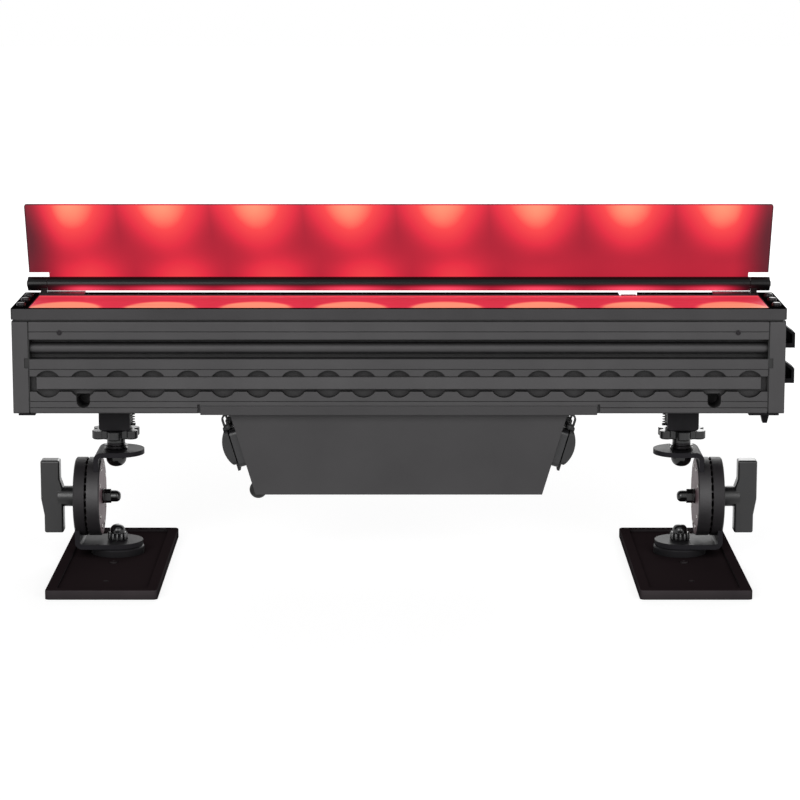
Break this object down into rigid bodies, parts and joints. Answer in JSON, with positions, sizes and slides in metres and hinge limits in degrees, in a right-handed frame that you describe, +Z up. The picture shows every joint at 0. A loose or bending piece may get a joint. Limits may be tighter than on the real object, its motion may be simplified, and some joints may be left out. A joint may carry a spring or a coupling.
{
  "type": "led pixel bar",
  "caption": "Outdoor light bar: grooved dark metal housing with a lit top window, a hinged glare shield, a driver box and tilting feet on floor plates.",
  "frame": {"origin": "on the floor, under the middle of the whole object's box", "axes": "+X along the bar to the hooked end, +Y from the front face to the back, +Z up"},
  "size_m": [0.506, 0.1786, 0.2342],
  "materials": {
    "housing_grey": "anodised dark grey",
    "rail_grey": "anodised grey",
    "cap_grey": "powder-coated dark grey",
    "frame_grey": "powder-coated dark grey",
    "gasket_rubber": "matt black",
    "screw_steel": "plain stainless",
    "bolt_steel": "plain stainless",
    "black_steel": "satin black powder coat",
    "plate_black": "satin warm black powder coat",
    "box_black": "satin black powder coat",
    "shield_grey": "satin black powder coat",
    "window_glass": "clear tempered",
    "filter_frost": "frosted",
    "lens_clear": "clear moulded",
    "led_package": "pale phosphor",
    "board_dark": "dark solder mask",
    "rosette_maroon": "brown-grey cast",
    "knob_black": "glossy black",
    "nut_black": "glossy black",
    "connector_black": "matt black",
    "lid_rubber": "matt black",
    "plug_rubber": "matt black",
    "spring_steel": "plain spring wire",
    "supply_case": "plain"
  },
  "bodies": {
    "housing": {"body_extrusion": "housing_grey", "front_rail": "rail_grey", "end_cap_right": "cap_grey", "end_cap_left": "cap_grey", "end_gaskets": "gasket_rubber", "link_hooks": "black_steel", "end_plates": "black_steel", "frame_gasket": "gasket_rubber", "window_frame": "frame_grey", "screws": "screw_steel", "cover_glass": "window_glass", "led_board": "board_dark", "led_chips": "led_package", "pixel_lenses": "lens_clear", "hinge_brackets": "frame_grey", "driver_box": "box_black", "power_supply": "supply_case", "control_board": "board_dark", "vent_plug": "plug_rubber", "sockets": "connector_black"},
    "shield": {"glare_shield": "shield_grey", "shield_tube": "shield_grey"},
    "diffuser": {"diffuser_sheet": "filter_frost"},
    "latch": {"link_latch": "black_steel"},
    "data_lid_right": {"data_lid_right": "lid_rubber"},
    "power_lid_right": {"power_lid_right": "lid_rubber"},
    "foot_slider_right": {"foot_block_right": "black_steel", "block_spring_right": "spring_steel", "clamp_bolt_right": "bolt_steel", "dome_nut_right": "nut_black"},
    "star_knob_right": {"star_knob_right": "knob_black"},
    "yoke_right": {"upper_bracket_right": "black_steel", "rosette_inner_right": "rosette_maroon", "tilt_nut_right": "nut_black"},
    "arm_right": {"rosette_outer_right": "rosette_maroon", "lower_bracket_right": "black_steel"},
    "handle_right": {"tilt_handle_right": "knob_black", "tilt_bolt_right": "bolt_steel"},
    "base_right": {"base_disc_right": "black_steel", "base_plate_right": "plate_black", "base_bolt_right": "bolt_steel", "base_nut_right": "nut_black"},
    "data_lid_left": {"data_lid_left": "lid_rubber"},
    "power_lid_left": {"power_lid_left": "lid_rubber"},
    "foot_slider_left": {"foot_block_left": "black_steel", "block_spring_left": "spring_steel", "clamp_bolt_left": "bolt_steel", "dome_nut_left": "nut_black"},
    "star_knob_left": {"star_knob_left": "knob_black"},
    "yoke_left": {"upper_bracket_left": "black_steel", "rosette_inner_left": "rosette_maroon", "tilt_nut_left": "nut_black"},
    "arm_left": {"rosette_outer_left": "rosette_maroon", "lower_bracket_left": "black_steel"},
    "handle_left": {"tilt_handle_left": "knob_black", "tilt_bolt_left": "bolt_steel"},
    "base_left": {"base_disc_left": "black_steel", "base_plate_left": "plate_black", "base_bolt_left": "bolt_steel", "base_nut_left": "nut_black"}
  },
  "joints": [
    {"name": "shield_hinge", "type": "hinge", "parent": "housing", "child": "shield", "pos_m": [-0.0035, 0.0596, 0.17935], "axis": [-1, 0, 0], "range_deg": [-66, 88]},
    {"name": "diffuser_lift", "type": "slide", "parent": "housing", "child": "diffuser", "axis": [0, 0, 1], "range_m": [0, 0.012]},
    {"name": "latch_turn", "type": "hinge", "parent": "housing", "child": "latch", "pos_m": [0.2351, 0.0026, 0.1038], "axis": [0, 0, 1], "range_deg": [0, 90]},
    {"name": "data_lid_hinge_right", "type": "hinge", "parent": "housing", "child": "data_lid_right", "pos_m": [0.10827, 0.0086, 0.09278], "axis": [0, -1, 0], "range_deg": [0, 80]},
    {"name": "power_lid_hinge_right", "type": "hinge", "parent": "housing", "child": "power_lid_right", "pos_m": [0.10827, 0.0366, 0.09278], "axis": [0, -1, 0], "range_deg": [0, 80]},
    {"name": "foot_slide_right", "type": "slide", "parent": "housing", "child": "foot_slider_right", "axis": [1, 0, 0], "range_m": [-0.025, 0.025]},
    {"name": "star_knob_turn_right", "type": "hinge", "parent": "foot_slider_right", "child": "star_knob_right", "pos_m": [0.1833, 0.0226, 0.083], "axis": [0, 0, 1], "range_deg": [-180, 180]},
    {"name": "foot_swivel_right", "type": "hinge", "parent": "foot_slider_right", "child": "yoke_right", "pos_m": [0.1833, 0.0226, 0.0731], "axis": [0, 0, 1], "range_deg": [-90, 90]},
    {"name": "foot_tilt_right", "type": "hinge", "parent": "yoke_right", "child": "arm_right", "pos_m": [0.2019, 0.0226, 0.0425], "axis": [-1, 0, 0], "range_deg": [-80, 80]},
    {"name": "handle_turn_right", "type": "hinge", "parent": "arm_right", "child": "handle_right", "pos_m": [0.2133, 0.0226, 0.0425], "axis": [1, 0, 0], "range_deg": [-180, 180]},
    {"name": "base_swivel_right", "type": "hinge", "parent": "arm_right", "child": "base_right", "pos_m": [0.1833, 0.0226, 0.0114], "axis": [0, 0, 1], "range_deg": [-90, 90]},
    {"name": "data_lid_hinge_left", "type": "hinge", "parent": "housing", "child": "data_lid_left", "pos_m": [-0.11527, 0.0086, 0.09278], "axis": [0, 1, 0], "range_deg": [0, 80]},
    {"name": "power_lid_hinge_left", "type": "hinge", "parent": "housing", "child": "power_lid_left", "pos_m": [-0.11527, 0.0366, 0.09278], "axis": [0, 1, 0], "range_deg": [0, 80]},
    {"name": "foot_slide_left", "type": "slide", "parent": "housing", "child": "foot_slider_left", "axis": [-1, 0, 0], "range_m": [-0.025, 0.025]},
    {"name": "star_knob_turn_left", "type": "hinge", "parent": "foot_slider_left", "child": "star_knob_left", "pos_m": [-0.1903, 0.0226, 0.083], "axis": [0, 0, 1], "range_deg": [-180, 180]},
    {"name": "foot_swivel_left", "type": "hinge", "parent": "foot_slider_left", "child": "yoke_left", "pos_m": [-0.1903, 0.0226, 0.0731], "axis": [0, 0, -1], "range_deg": [-90, 90]},
    {"name": "foot_tilt_left", "type": "hinge", "parent": "yoke_left", "child": "arm_left", "pos_m": [-0.2089, 0.0226, 0.0425], "axis": [-1, 0, 0], "range_deg": [-80, 80]},
    {"name": "handle_turn_left", "type": "hinge", "parent": "arm_left", "child": "handle_left", "pos_m": [-0.2203, 0.0226, 0.0425], "axis": [-1, 0, 0], "range_deg": [-180, 180]},
    {"name": "base_swivel_left", "type": "hinge", "parent": "arm_left", "child": "base_left", "pos_m": [-0.1903, 0.0226, 0.0114], "axis": [0, 0, -1], "range_deg": [-90, 90]}
  ]
}
